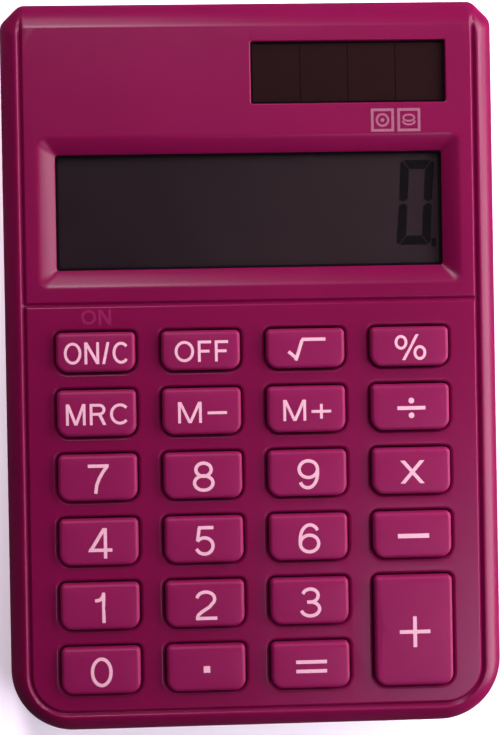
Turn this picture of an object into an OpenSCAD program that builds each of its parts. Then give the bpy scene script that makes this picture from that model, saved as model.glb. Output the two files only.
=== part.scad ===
// Desk calculator: moulded case, four-column keypad, liquid crystal display and solar cell.
// Millimetres. +X is to the right, +Y up the face towards the display, +Z out of the face.
// The origin is on the table, under the middle of the case.

/* [Case] */
// Width of the case
body_w = 76; // [74:0.5:90]
// Length of the case, from the top edge to the bottom edge
body_l = 111.6; // [111:0.5:130]
// Thickness of the case, from the rear face to the face panel
body_t = 13; // [12.5:0.5:18]
// Height of the rear half, from the rear face to the parting line
rear_h = 5.2; // [4.5:0.1:6]
// Wall thickness of both halves
wall = 1.6; // [1.2:0.1:2]
// Thickness of the face panel
face_t = 1.8; // [1.6:0.1:2.2]
// Radius of the two bottom corners, seen from the front
corner_r = 9.8; // [7:0.2:10]
// Size of the cut across each top corner
top_cut = 3.1; // [3:0.1:5]
// Radius that softens both ends of those cuts
cut_round = 2; // [1:0.1:2.5]
// Width of the rounded rim along the sides and the bottom
rim_w = 3; // [2.4:0.1:3.2]
// Width of the roll-off along the top edge
top_rim_w = 4.2; // [3.4:0.1:4.4]
// Height of the rounded rim
rim_h = 3; // [2.4:0.1:3.6]
// Shape of the rim: 1 is a quarter round, and 2 is a flat slope
rim_shape = 1.35; // [1:0.05:2]
// Width and height of the rounded edge round the rear face
rear_edge = 2.6; // [1.6:0.1:3]
// How far the side walls lean in between the parting line and the rim
draft = 0.25; // [0.1:0.05:0.4]

/* [Face grooves] */
// Width of the V groove that frames the face
groove_w = 0.9; // [0.6:0.1:1]
// Depth of the V groove
groove_d = 0.5; // [0.3:0.1:0.7]
// Corner radius of the groove's centre line at the bottom
groove_r = 5.8; // [4:0.2:7]
// Distance from the top edge to the groove across the face
divider_y = 46.1; // [45.9:0.1:46.6]

/* [Display] */
// Width of the display window
window_w = 59.2; // [52:0.2:59.6]
// Height of the display window
window_h = 17.6; // [15:0.2:17.8]
// Distance from the top edge to the middle of the display window
window_y = 32.1; // [31.9:0.1:32.3]
// Width of the sloped frame round the window, seen from the front
slope_w = 2.4; // [1.6:0.1:2.4]
// Height left upright at the foot of the sloped frame
window_lip = 0.3; // [0.2:0.1:0.6]
// Corner radius of the window
window_r = 0.5; // [0.3:0.1:1]
// Thickness of the clear window
lens_t = 1; // [0.8:0.1:1.2]
// Thickness of one display glass
glass_t = 0.7; // [0.55:0.05:0.7]
// Thickness of one polariser
film_t = 0.2; // [0.15:0.05:0.25]
// Width of the contact ledge along the lower edge of the front glass
ledge_w = 2.4; // [2:0.1:2.6]
// How far the clear window and the glass reach past the window opening
glass_lap = 1.3; // [1:0.1:1.4]

/* [Solar cell] */
// Width of the solar window
solar_w = 29.8; // [24:0.2:30]
// Height of the solar window
solar_h = 9.5; // [8:0.1:10]
// Distance from the right side of the case to the solar window
solar_side = 7.8; // [7.6:0.1:9]
// Distance from the top edge to the middle of the solar window
solar_y = 11.2; // [10.5:0.1:11.4]
// Depth of the solar cell below the face
solar_sink = 0.9; // [0.7:0.1:1]
// Thickness of the solar cell
solar_t = 1.1; // [0.9:0.1:1.3]
// How far the solar cell reaches past its window
solar_lap = 0.7; // [0.5:0.1:0.8]
// Radius of an insulated solar wire
wire_r = 0.4; // [0.3:0.05:0.5]

/* [Keys] */
// Distance from the top edge to the upper edge of the first row
keypad_y = 50.3; // [50:0.1:50.6]
// Distance from the sides of the case to the outer columns
keypad_side = 8.15; // [7.5:0.05:10]
// Distance from the bottom edge to the lower edge of the last row
keypad_low = 6.55; // [6.4:0.05:8]
// Space between two columns
column_gap = 3.9; // [3.3:0.1:5.4]
// Space between two rows
row_gap = 2.75; // [2.4:0.05:3.6]
// Height of a key in the first row, measured up the face
first_key_h = 6; // [5:0.1:6.4]
// Radius of a key's two upper corners
key_r_top = 0.8; // [0.5:0.1:1.2]
// Radius of a key's two lower corners
key_r_bottom = 1.7; // [1:0.1:2]
// How far the keys stand above the face
key_rise = 1.2; // [0.8:0.1:1.8]
// Radius of the rounding along a key's top edges
key_edge = 0.45; // [0.3:0.05:0.6]
// Gap between a key and its opening
key_gap = 0.3; // [0.25:0.05:0.4]
// Wall thickness of a hollow key
key_wall = 1; // [0.8:0.1:1.2]
// How far a key's flange reaches past the key
flange_w = 0.6; // [0.5:0.05:0.7]
// Thickness of a key's flange
flange_t = 0.8; // [0.6:0.1:0.9]
// Travel of a key
key_travel = 0.9; // [0.6:0.1:1]
// Radius of the post under a key
post_r = 1.7; // [1.4:0.1:2]

/* [Keypad membrane] */
// Thickness of the rubber sheet
sheet_t = 0.6; // [0.5:0.05:0.8]
// Radius of a dome at its foot
dome_r = 2.9; // [2.5:0.1:3]
// Wall thickness of a dome
dome_wall = 0.45; // [0.35:0.05:0.6]
// Thickness of a carbon pill
pill_t = 0.35; // [0.25:0.05:0.4]

/* [Circuit board] */
// Thickness of the circuit board
board_t = 1.2; // [1:0.1:1.6]
// Radius of the pillars that the board is screwed to
board_post_r = 1.5; // [1.4:0.1:1.7]
// Radius of the board screws
board_screw_r = 0.75; // [0.6:0.05:0.8]
// Length of a board screw in its pillar
board_screw_l = 2.4; // [2:0.1:2.6]
// Radius of the potting over the chip
chip_r = 7; // [5:0.5:8]
// Height of the potting over the chip
chip_h = 1.6; // [1.2:0.1:2]
// Radius of the button cell
cell_r = 5.8; // [5:0.1:6]
// Height of the button cell
cell_h = 3.05; // [2.5:0.05:3.1]
// Thickness of the cell's contact sheet
contact_t = 0.25; // [0.2:0.05:0.3]
// Radius of the storage capacitor
capacitor_r = 1.8; // [1.5:0.1:2]

/* [Case screws and feet] */
// Radius of the case pillars
case_post_r = 2.1; // [1.9:0.1:2.2]
// Radius of the case screws
case_screw_r = 1; // [0.9:0.05:1.1]
// Length of a case screw below its head
case_screw_l = 7; // [6:0.5:7.5]
// Radius of a case screw's head
screw_head_r = 1.8; // [1.6:0.1:1.9]
// Radius of a rubber foot
foot_r = 4; // [3:0.2:5]
// How far the feet stand below the rear face
foot_stand = 0.8; // [0.5:0.1:1.2]
// Depth of the pockets that the feet are glued into
foot_pocket = 0.5; // [0.3:0.1:0.7]

/* [Hidden] */
$fn = 48;
eps = 0.01;                 // overlap of two joined solids
fit = 0.3;                  // clearance round a glass, a pillar or another loose neighbour
bore_gap = 0.05;            // radial clearance of a screw in its bore
lip_gap = 0.1;              // clearance of the rear lip in the front wall

// Heights
rear_z = foot_stand;
parting_z = rear_z + rear_h;
panel_z = rear_z + body_t;
face_under = panel_z - face_t;
key_top = panel_z + key_rise;
flange_z = face_under - flange_t;
post_drop = 0.4;            // from a key's flange to the underside of its post
post_z = flange_z - post_drop;
pill_gap = 0.3;             // left between a pill and the board when a key is down
dome_h = key_travel + pill_gap + pill_t + dome_wall;
board_top = post_z - dome_h;
board_z = board_top - board_t;
floor_z = rear_z + wall;
lip_h = 1;
joint_drop = 0.8;           // from the board to where a front pillar stands on a rear pillar
case_joint_z = board_z - joint_drop;

groove_end = 2.4;           // from the top edge to where the grooves run out of the roll-off

// Display stack, from the clear window down
window_cy = body_l/2 - window_y;
lens_z = face_under - lens_t;
front_film_z = lens_z - film_t;
front_glass_z = front_film_z - glass_t;
rear_glass_z = front_glass_z - glass_t;
rear_film_z = rear_glass_z - film_t;
glass_w = window_w + 2*glass_lap;
glass_h = window_h + 2*glass_lap;
ledge_y = window_cy - glass_h/2 - ledge_w;       // lower edge of the front glass
glass_top_y = window_cy + glass_h/2;
frame_wall = 1;
frame_h = lens_t + film_t + glass_t;             // ribs round the window and the front glass

// Solar cell
solar_x = body_w/2 - solar_side - solar_w/2;
solar_cy = body_l/2 - solar_y;
solar_top = panel_z - solar_sink;
solar_z = solar_top - solar_t;
wire_bend = 1.1;
wire_drop = 0.4;
wire_lead = 3;              // from the cell's lower edge to the wire's joint on it
wire_step = 3;
wire_xs = [solar_x - 3*wire_step, solar_x - wire_step];

// Keys: name, column, row, rows that the key is tall
KEYS = [
    ["key_on_clear", 0, 0, 1], ["key_off", 1, 0, 1], ["key_root", 2, 0, 1], ["key_percent", 3, 0, 1],
    ["key_memory_recall", 0, 1, 1], ["key_memory_minus", 1, 1, 1],
    ["key_memory_plus", 2, 1, 1], ["key_divide", 3, 1, 1],
    ["key_7", 0, 2, 1], ["key_8", 1, 2, 1], ["key_9", 2, 2, 1], ["key_times", 3, 2, 1],
    ["key_4", 0, 3, 1], ["key_5", 1, 3, 1], ["key_6", 2, 3, 1], ["key_minus", 3, 3, 1],
    ["key_1", 0, 4, 1], ["key_2", 1, 4, 1], ["key_3", 2, 4, 1], ["key_plus", 3, 4, 2],
    ["key_0", 0, 5, 1], ["key_point", 1, 5, 1], ["key_equals", 2, 5, 1]
];
columns = max([for (k = KEYS) k[1]]) + 1;
rows = max([for (k = KEYS) k[2]]) + 1;
keypad_top = body_l/2 - keypad_y;
keypad_w = body_w - 2*keypad_side;
key_w = (keypad_w - (columns - 1)*column_gap)/columns;
key_h = (body_l - keypad_y - keypad_low - first_key_h)/(rows - 1) - row_gap;
pitch_x = key_w + column_gap;
pitch_y = key_h + row_gap;
function row_top(row) = keypad_top - (row == 0 ? 0 : first_key_h + row_gap + (row - 1)*pitch_y);
keypad_bottom = row_top(rows - 1) - key_h;
function key_height(k) = k[2] == 0 ? first_key_h : key_h + (k[3] - 1)*pitch_y;
function key_x(k) = (k[1] - (columns - 1)/2)*pitch_x;
function key_y(k) = row_top(k[2]) - key_height(k)/2;
key_cover = 1.1;            // thickness of a key's top
hollow_r_top = 0.4;         // corner radii of the hollow in a key
hollow_r_bottom = 0.6;

// Membrane
sheet_edge = 0.2;           // from a key's flange to the sheet's edge
sheet_w = keypad_w + 2*(flange_w + sheet_edge);
sheet_top_y = keypad_top + flange_w + sheet_edge;
sheet_bottom_y = keypad_bottom - flange_w - sheet_edge;
dome_top_r = post_r;
pill_r = dome_top_r - dome_wall;

// Circuit board
board_post_x = sheet_w/2 + fit + board_post_r;
post_rise = 2;              // from the keypad's upper edge to the middle pair of pillars
upper_post_in = 6.9;        // from the glass's ends to the upper pillars
upper_post_y = glass_top_y + fit + frame_wall + board_post_r;
board_posts = [
    for (s = [-1, 1]) [s*board_post_x, keypad_top + post_rise],
    for (s = [-1, 1]) [s*board_post_x, row_top(3) + row_gap/2],
    for (s = [-1, 1]) [s*(glass_w/2 - upper_post_in), upper_post_y + fit],
    [0, sheet_bottom_y - board_post_r]
];
board_rim = 2;              // from the middle of a pillar to the board's edge
board_w = 2*(board_post_x + board_rim);
board_hi = upper_post_y + board_rim;
board_lo = sheet_bottom_y - board_post_r - board_rim;
board_corner_r = 5;
board_screw_head_h = 0.8;
board_bore_end = 0.3;       // left in the bore past a board screw's tip

// Case pillars, at the four corners: the upper two stand clear of the cut corners' walls
case_post_gap = 0.4;        // from the side wall to a pillar
case_post_up = 10.8;        // from the bottom edge to the lower pillars
case_post_x = body_w/2 - wall - case_post_gap - case_post_r;
case_post_top = body_w/2 + body_l/2 - top_cut - case_post_x - sqrt(2)*(wall + lip_gap + case_post_r);
case_post_low = -body_l/2 + case_post_up;
case_posts = [for (s = [-1, 1], y = [case_post_top, case_post_low]) [s*case_post_x, y]];
head_h = 1.3;
head_sink = 0.4;            // from the rear face to a screw's head
head_seat = rear_z + head_sink + head_h;
case_bore_end = 0.6;        // left in the bore past a case screw's tip
bore_depth = case_screw_l - (case_joint_z - head_seat) + case_bore_end;
boss_wall = 0.5;            // how much wider a rear pillar is than a front one

// Feet
foot_in = 11;               // from the sides to the feet
foot_down = 12;             // from the top edge to the upper feet
foot_up = 19;               // from the bottom edge to the lower feet
foot_x = body_w/2 - foot_in;
foot_ys = [body_l/2 - foot_down, -body_l/2 + foot_up];

// Ribs on the rear half's floor
rib_t = 1;
rib_h = 1.2;
rib_end = 10;               // from the top and bottom edges to the long ribs' ends
rib_side = 5;               // from the sides to the cross ribs' ends
rib_xs = [-12, 12];
rib_ys = [foot_ys[0] - 35.8, foot_ys[1] + 14.8];

// Parts under the board, placed from its middle line or its sides, and from its upper edge
chip_right = 8;
chip_down = 38.6;
chip_at = [chip_right, board_hi - chip_down];
cell_side = 15.45;
cell_down = 18.6;
cell_at = [-board_w/2 + cell_side, board_hi - cell_down];
capacitor_side = 17.45;
capacitor_down = 14.6;
capacitor_at = [board_w/2 - capacitor_side, board_hi - capacitor_down];
resistor_step = 2;
resistor_size = [resistor_step, 1.25, 0.5];
resistors_at = [
    for (step = [[-7, 13], [-5, 13], [8, 1], [8, -1.5], [-8, -4]]) chip_at + resistor_step*step
];
strap_w = 4;
pad_r = 3;

// ---------- outlines ----------

function arc(centre, r, from, to, steps) =
    [for (i = [0:steps]) let (a = from + (to - from)*i/steps) centre + r*[cos(a), sin(a)]];

// A rectangle about the origin, with one radius for its upper corners and one for its lower corners
function rounded(w, h, r_top, r_bottom, steps = 6) = concat(
    arc([w/2 - r_top, h/2 - r_top], r_top, 0, 90, steps),
    arc([-w/2 + r_top, h/2 - r_top], r_top, 90, 180, steps),
    arc([-w/2 + r_bottom, -h/2 + r_bottom], r_bottom, 180, 270, steps),
    arc([w/2 - r_bottom, -h/2 + r_bottom], r_bottom, 270, 360, steps)
);

// The case's outline, moved in by side_in at the sides and the bottom, and by top_in at the top
function case_outline(side_in, top_in) = let (
    x = body_w/2 - side_in,
    top = body_l/2 - top_in,
    bottom = -body_l/2 + side_in,
    r = max(corner_r - side_in, 1),
    cut = top_cut - (1 - sqrt(0.5))*(side_in + top_in),
    soft = max(cut_round - 0.35*side_in, 0.4),
    shift = cut + soft*(sqrt(2) - 1)
) concat(
    arc([x - soft, top - shift], soft, 0, 45, 3),
    arc([x - shift, top - soft], soft, 45, 90, 3),
    arc([-x + shift, top - soft], soft, 90, 135, 3),
    arc([-x + soft, top - shift], soft, 135, 180, 3),
    arc([-x + r, bottom + r], r, 180, 270, 12),
    arc([x - r, bottom + r], r, 270, 360, 12)
);

module slab(points, z, t) {
    translate([0, 0, z]) linear_extrude(t) polygon(points);
}

// A solid through outlines of as many points each, from the lowest up: rings = [[points, z], ...]
module loft(rings) {
    n = len(rings[0][0]);
    corners = [for (ring = rings, p = ring[0]) [p[0], p[1], ring[1]]];
    foot = [[for (j = [0:n - 1]) j]];
    sides = [for (i = [0:len(rings) - 2], j = [0:n - 1])
        let (a = i*n + j, b = i*n + (j + 1)%n) each [[a, a + n, b + n], [a, b + n, b]]];
    cap = [[for (j = [n - 1:-1:0]) (len(rings) - 1)*n + j]];
    polyhedron(corners, concat(foot, sides, cap));
}

// ---------- case ----------

// The front half's solid form: leaning side walls, then a rounded rim that is wider along the top
module front_form() {
    rim = [for (a = [0:15:90]) let (
        share = 1 - pow(cos(a), rim_shape),
        drop = 1 - pow(sin(a), rim_shape)
    ) [
        case_outline(draft + (rim_w - draft)*share, draft + (top_rim_w - draft)*share),
        panel_z - rim_h*drop
    ]];
    loft(concat([[case_outline(0, 0), parting_z]], rim));
}

module front_cavity() {
    loft([
        [case_outline(wall, wall), parting_z - 1],
        [case_outline(wall + draft, wall + draft), panel_z - rim_h],
        [case_outline(wall + 3*draft, wall + 3*draft), face_under]
    ]);
}

// One leg of a V groove, along +Y from the origin
module groove_bar(length) {
    over = 0.2;
    wide = groove_w/2*(1 + over/groove_d);
    translate([0, length, panel_z]) rotate([90, 0, 0]) linear_extrude(length)
        polygon([[-wide, over], [0, -groove_d], [wide, over]]);
}

module groove_bend(from) {
    over = 0.2;
    wide = groove_w/2*(1 + over/groove_d);
    translate([0, 0, panel_z]) rotate([0, 0, from]) rotate_extrude(angle = 90)
        polygon([[groove_r - wide, over], [groove_r, -groove_d], [groove_r + wide, over]]);
}

module face_grooves() {
    x = body_w/2 - rim_w - groove_w/2;
    bottom = -body_l/2 + rim_w + groove_w/2;
    top = body_l/2 - groove_end;
    for (s = [-1, 1])
        translate([s*x, bottom + groove_r, 0]) groove_bar(top - bottom - groove_r);
    translate([-x + groove_r, bottom, 0]) rotate([0, 0, -90]) groove_bar(2*(x - groove_r));
    translate([-x + groove_r, bottom + groove_r, 0]) groove_bend(180);
    translate([x - groove_r, bottom + groove_r, 0]) groove_bend(270);
    translate([-x, body_l/2 - divider_y, 0]) rotate([0, 0, -90]) groove_bar(2*x);
}

// The sloped frame and the opening at its foot
module window_cut() {
    slope_top = panel_z + 0.2;
    run = slope_w*(slope_top - face_under - window_lip)/(face_t - window_lip);
    translate([0, window_cy, 0]) {
        loft([
            [rounded(window_w, window_h, window_r, window_r), face_under + window_lip],
            [rounded(window_w + 2*run, window_h + 2*run, window_r + 0.8, window_r + 0.8), slope_top]
        ]);
        slab(rounded(window_w, window_h, window_r, window_r), face_under - 1, window_lip + 1);
    }
}

module solar_cut() {
    translate([solar_x, solar_cy, 0]) {
        slab(rounded(solar_w, solar_h, 0.3, 0.3), face_under - 1, face_t + 2);
        slab(rounded(solar_w + 2*solar_lap + 0.2, solar_h + 2*solar_lap + 0.2, 0.2, 0.2),
             face_under - 1, solar_top - face_under + 1);
    }
}

module key_openings() {
    for (k = KEYS)
        translate([key_x(k), key_y(k), 0])
            slab(rounded(key_w + 2*key_gap, key_height(k) + 2*key_gap,
                         key_r_top + key_gap, key_r_bottom + key_gap), face_under - 1, face_t + 2);
}

// Ribs that hold the clear window and the front glass
module window_ribs() {
    w = glass_w + 2*fit;
    h = glass_top_y - ledge_y + 2*fit;
    translate([0, (glass_top_y + ledge_y)/2, face_under - frame_h]) difference() {
        translate([-w/2 - frame_wall, -h/2 - frame_wall, 0])
            cube([w + 2*frame_wall, h + 2*frame_wall, frame_h + eps]);
        translate([-w/2, -h/2, -1]) cube([w, h, frame_h + 2]);
    }
}

module front_housing() {
    color("mediumvioletred") difference() {
        union() {
            difference() {
                front_form();
                front_cavity();
                // the lower wall is thinner inside, so that the rear lip enters it
                slab(case_outline(wall/2, wall/2), parting_z - 1, lip_h + 1 + lip_gap);
            }
            window_ribs();
            for (p = case_posts)
                translate([p[0], p[1], case_joint_z])
                    cylinder(r = case_post_r, h = face_under - case_joint_z + eps);
            for (p = board_posts)
                translate([p[0], p[1], board_top])
                    cylinder(r = board_post_r, h = face_under - board_top + eps);
        }
        face_grooves();
        window_cut();
        solar_cut();
        key_openings();
        for (p = case_posts)
            translate([p[0], p[1], case_joint_z - 1])
                cylinder(r = case_screw_r + bore_gap, h = bore_depth + 1);
        for (p = board_posts)
            translate([p[0], p[1], board_top - 1])
                cylinder(r = board_screw_r + bore_gap, h = board_screw_l + board_bore_end + 1);
    }
}

module rear_form() {
    edge = [for (a = [90:-18:0]) [
        case_outline(rear_edge*(1 - cos(a)), rear_edge*(1 - cos(a))),
        rear_z + rear_edge*(1 - sin(a))
    ]];
    loft(concat(edge, [[case_outline(0, 0), parting_z]]));
}

module rear_cavity() {
    loft([
        [case_outline(rear_edge + 0.6, rear_edge + 0.6), floor_z],
        [case_outline(wall + 0.1, wall + 0.1), rear_z + rear_edge + 0.5],
        [case_outline(wall, wall), parting_z + lip_h + 1]
    ]);
}

module rear_ribs() {
    long = body_l - 2*rib_end;
    wide = body_w - 2*rib_side;
    for (x = rib_xs)
        translate([x - rib_t/2, -long/2, floor_z - eps]) cube([rib_t, long, rib_h]);
    for (y = rib_ys)
        translate([-wide/2, y - rib_t/2, floor_z - eps]) cube([wide, rib_t, rib_h]);
}

module rear_housing() {
    color("mediumvioletred") difference() {
        union() {
            difference() {
                union() {
                    rear_form();
                    slab(case_outline(wall/2 + lip_gap, wall/2 + lip_gap), parting_z - 1, lip_h + 1);
                }
                rear_cavity();
            }
            rear_ribs();
            for (p = case_posts)
                translate([p[0], p[1], floor_z - eps])
                    cylinder(r = case_post_r + boss_wall, h = case_joint_z - floor_z + eps);
        }
        for (p = case_posts) {
            translate([p[0], p[1], rear_z - 1]) cylinder(r = screw_head_r + 0.2, h = head_seat - rear_z + 1);
            translate([p[0], p[1], rear_z]) cylinder(r = case_screw_r + 0.1, h = body_t);
        }
        for (s = [-1, 1], y = foot_ys)
            translate([s*foot_x, y, rear_z - 1]) cylinder(r = foot_r + 0.1, h = foot_pocket + 1);
    }
}

module rubber_feet() {
    soft = 0.3;
    h = foot_stand + foot_pocket;
    color("dimgray") for (s = [-1, 1], y = foot_ys)
        translate([s*foot_x, y, 0]) rotate_extrude()
            polygon([[0, 0], [foot_r - soft, 0], [foot_r, soft], [foot_r, h], [0, h]]);
}

// ---------- display ----------

module plate(w, y_low, y_high, z, t) {
    translate([-w/2, y_low, z]) cube([w, y_high - y_low, t]);
}

module display_window() {
    color("gray", 0.5) plate(glass_w, window_cy - glass_h/2, glass_top_y, lens_z, lens_t);
}

module display_front_polariser() {
    film_in = 0.6;
    bottom = window_cy - glass_h/2 + film_in;
    color("darkslategray") plate(glass_w - 2*film_in, bottom, glass_top_y - film_in, front_film_z, film_t);
}

module display_front_glass() {
    color("lightgray", 0.6) plate(glass_w, ledge_y, glass_top_y, front_glass_z, glass_t);
}

module display_rear_glass() {
    color("lightgray", 0.6) plate(glass_w, ledge_y + ledge_w, glass_top_y, rear_glass_z, glass_t);
}

module display_rear_polariser() {
    color("dimgray")
        plate(glass_w - 1.2, ledge_y + ledge_w + 0.6, glass_top_y - 0.6, rear_film_z, film_t);
}

module display_foam_pad() {
    color("black") plate(glass_w - 12, window_cy - 4, window_cy + 4, board_top, rear_film_z - board_top);
}

module elastomer_connector() {
    edge = 0.3;
    color("gainsboro")
        plate(glass_w - 4, ledge_y + edge, ledge_y + ledge_w - edge, board_top, front_glass_z - board_top);
}

// ---------- solar cell and its wires ----------

module solar_cell() {
    w = solar_w + 2*solar_lap;
    h = solar_h + 2*solar_lap;
    color("black") translate([solar_x - w/2, solar_cy - h/2, solar_z]) cube([w, h, solar_t]);
}

// Down from the cell, along the case towards the board, and down to the board
module solar_wire(x) {
    start_y = solar_cy - solar_h/2 - solar_lap + wire_lead;
    run_z = solar_z - wire_drop - wire_bend;
    end_y = board_hi - 0.8;
    translate([x, start_y, solar_z - wire_drop]) cylinder(r = wire_r, h = wire_drop);
    translate([x, start_y - wire_bend, solar_z - wire_drop]) rotate([90, 0, 90])
        rotate([0, 0, -90]) rotate_extrude(angle = 90) translate([wire_bend, 0]) circle(r = wire_r);
    translate([x, start_y - wire_bend, run_z]) rotate([90, 0, 0])
        cylinder(r = wire_r, h = start_y - end_y - 2*wire_bend);
    translate([x, end_y + wire_bend, run_z - wire_bend]) rotate([90, 0, 90])
        rotate([0, 0, 90]) rotate_extrude(angle = 90) translate([wire_bend, 0]) circle(r = wire_r);
    translate([x, end_y, board_top]) cylinder(r = wire_r, h = run_z - wire_bend - board_top);
}

module solar_wire_positive() {
    color("red") solar_wire(wire_xs[0]);
}

module solar_wire_negative() {
    color("black") solar_wire(wire_xs[1]);
}

// ---------- circuit board and what it carries ----------

module circuit_board() {
    color("peru") difference() {
        translate([0, (board_hi + board_lo)/2, 0])
            slab(rounded(board_w, board_hi - board_lo, 1, board_corner_r), board_z, board_t);
        for (p = board_posts)
            translate([p[0], p[1], board_z - 1]) cylinder(r = board_screw_r + 0.15, h = board_t + 2);
        for (p = case_posts)
            translate([p[0], p[1], board_z - 1]) cylinder(r = case_post_r + fit, h = board_t + 2);
    }
}

module chip_potting() {
    ball_r = (chip_r*chip_r + chip_h*chip_h)/(2*chip_h);
    half = asin(chip_r/ball_r);
    color("black") translate([chip_at[0], chip_at[1], board_z]) rotate_extrude()
        polygon(concat([[0, 0]], arc([0, ball_r - chip_h], ball_r, -90 + half, -90, 8)));
}

module storage_capacitor() {
    can_l = 5;
    lead_r = 0.25;
    lead_l = 1.5;
    z = board_z - capacitor_r;
    color("midnightblue") translate([capacitor_at[0], capacitor_at[1], z]) {
        rotate([0, 90, 0]) cylinder(r = capacitor_r, h = can_l);
        for (s = [-1, 1]) {
            translate([-lead_l, s*capacitor_r/2, 0]) rotate([0, 90, 0])
                cylinder(r = lead_r, h = lead_l + 0.5);
            translate([-lead_l, s*capacitor_r/2, -lead_r]) cylinder(r = lead_r, h = capacitor_r + lead_r);
        }
    }
}

module chip_resistors() {
    color("black") for (p = resistors_at)
        translate([p[0], p[1], board_z - resistor_size[2]]) cube(resistor_size);
}

module cell_pad() {
    color("silver") translate([cell_at[0], cell_at[1], board_z - contact_t])
        cylinder(r = pad_r, h = contact_t);
}

module button_cell() {
    step = 0.6;
    color("lightgray") translate([cell_at[0], cell_at[1], board_z - contact_t - cell_h]) {
        cylinder(r = cell_r, h = cell_h - step);
        translate([0, 0, cell_h - step - eps]) cylinder(r = cell_r - 0.8, h = step + eps);
    }
}

module cell_strap() {
    leg_in = cell_r + 0.3;
    bottom = board_z - contact_t - cell_h - contact_t;
    color("silver") translate([cell_at[0], cell_at[1] - strap_w/2, 0]) {
        translate([-leg_in - contact_t, 0, bottom]) cube([2*(leg_in + contact_t), strap_w, contact_t]);
        for (s = [-1, 1])
            translate([s*(leg_in + contact_t/2) - contact_t/2, 0, bottom])
                cube([contact_t, strap_w, board_z - bottom]);
    }
}

// ---------- keypad ----------

module keypad_membrane() {
    foot_in = dome_r - dome_wall;
    roof_in = dome_top_r - dome_wall;
    color("gray") {
        difference() {
            translate([0, (sheet_top_y + sheet_bottom_y)/2, 0])
                slab(rounded(sheet_w, sheet_top_y - sheet_bottom_y, 1, 1), board_top, sheet_t);
            for (k = KEYS)
                translate([key_x(k), key_y(k), board_top - 1]) cylinder(r = foot_in, h = sheet_t + 2);
        }
        for (k = KEYS)
            translate([key_x(k), key_y(k), board_top]) rotate_extrude()
                polygon([[foot_in, 0], [dome_r, 0], [dome_r, sheet_t], [dome_top_r, dome_h], [0, dome_h],
                         [0, dome_h - dome_wall], [roof_in, dome_h - dome_wall], [foot_in, sheet_t]]);
    }
}

module contact_pills() {
    color("black") for (k = KEYS)
        translate([key_x(k), key_y(k), board_top + dome_h - dome_wall - pill_t])
            cylinder(r = pill_r, h = pill_t);
}

module key(k) {
    w = key_w;
    h = key_height(k);
    edge = [for (a = [0:30:90]) let (cut = key_edge*(1 - cos(a))) [
        rounded(w - 2*cut, h - 2*cut, key_r_top - cut/2, key_r_bottom - cut, 4),
        key_top - key_edge*(1 - sin(a))
    ]];
    color("palevioletred") translate([key_x(k), key_y(k), 0]) {
        difference() {
            union() {
                loft(concat([[rounded(w, h, key_r_top, key_r_bottom, 4), flange_z]], edge));
                slab(rounded(w + 2*flange_w, h + 2*flange_w, key_r_top, key_r_bottom), flange_z, flange_t);
            }
            slab(rounded(w - 2*key_wall, h - 2*key_wall, hollow_r_top, hollow_r_bottom, 3),
                 flange_z - 1, key_top - key_cover - flange_z + 1);
        }
        translate([0, 0, post_z]) cylinder(r = post_r, h = key_top - key_cover/2 - post_z);
    }
}

// ---------- screws ----------

// Head down, shank up, with its head's underside at z = 0
module screw(head_r, height, shank_r, shank_l) {
    slot = 0.35;
    tip = shank_r;
    difference() {
        union() {
            translate([0, 0, -height]) cylinder(r = head_r, h = height);
            translate([0, 0, -eps]) cylinder(r = shank_r, h = shank_l - tip + eps);
            translate([0, 0, shank_l - tip]) cylinder(r1 = shank_r, r2 = 0.2, h = tip);
        }
        for (a = [0, 90])
            rotate([0, 0, a]) translate([-head_r*0.6, -slot/2, -height - 1])
                cube([head_r*1.2, slot, 1 + height*0.6]);
    }
}

module case_screws() {
    color("silver") for (p = case_posts)
        translate([p[0], p[1], head_seat]) screw(screw_head_r, head_h, case_screw_r, case_screw_l);
}

module board_screws() {
    color("silver") for (p = board_posts)
        translate([p[0], p[1], board_z])
            screw(board_post_r, board_screw_head_h, board_screw_r, board_t + board_screw_l);
}

front_housing();
rear_housing();
display_window();
display_front_polariser();
display_front_glass();
display_rear_glass();
display_rear_polariser();
display_foam_pad();
elastomer_connector();
solar_cell();
solar_wire_positive();
solar_wire_negative();
circuit_board();
chip_potting();
storage_capacitor();
chip_resistors();
button_cell();
cell_strap();
cell_pad();
keypad_membrane();
contact_pills();
board_screws();
case_screws();
rubber_feet();
for (k = KEYS)
    key(k);
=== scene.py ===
"""Desk calculator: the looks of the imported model.

Shapes are worked out in millimetres and turned into metres when a mesh is made.
+X is to the right, +Y up the face towards the display, +Z out of the face; the table is at z = 0.
"""
import math

import bmesh
import bpy
from mathutils import Euler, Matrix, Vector, geometry


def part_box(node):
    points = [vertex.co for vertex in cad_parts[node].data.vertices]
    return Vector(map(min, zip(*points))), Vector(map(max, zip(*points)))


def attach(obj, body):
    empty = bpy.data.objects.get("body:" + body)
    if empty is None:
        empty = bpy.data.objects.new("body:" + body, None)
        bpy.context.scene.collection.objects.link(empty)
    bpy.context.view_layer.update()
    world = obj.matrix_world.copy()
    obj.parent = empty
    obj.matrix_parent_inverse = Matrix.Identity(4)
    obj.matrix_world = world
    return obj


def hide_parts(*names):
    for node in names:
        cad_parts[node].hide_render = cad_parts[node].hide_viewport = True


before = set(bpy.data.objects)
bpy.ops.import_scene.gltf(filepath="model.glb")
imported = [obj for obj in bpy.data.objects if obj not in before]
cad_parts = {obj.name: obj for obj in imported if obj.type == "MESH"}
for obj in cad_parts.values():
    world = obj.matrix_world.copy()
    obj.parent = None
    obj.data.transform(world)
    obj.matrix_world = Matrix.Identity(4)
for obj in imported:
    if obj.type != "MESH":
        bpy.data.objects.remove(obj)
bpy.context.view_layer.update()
MM = 0.001


# ---------- sizes in millimetres ----------

def box(node):
    """Lowest and highest corner of a CAD node, in millimetres."""
    low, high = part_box(node)
    return low / MM, high / MM


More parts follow.
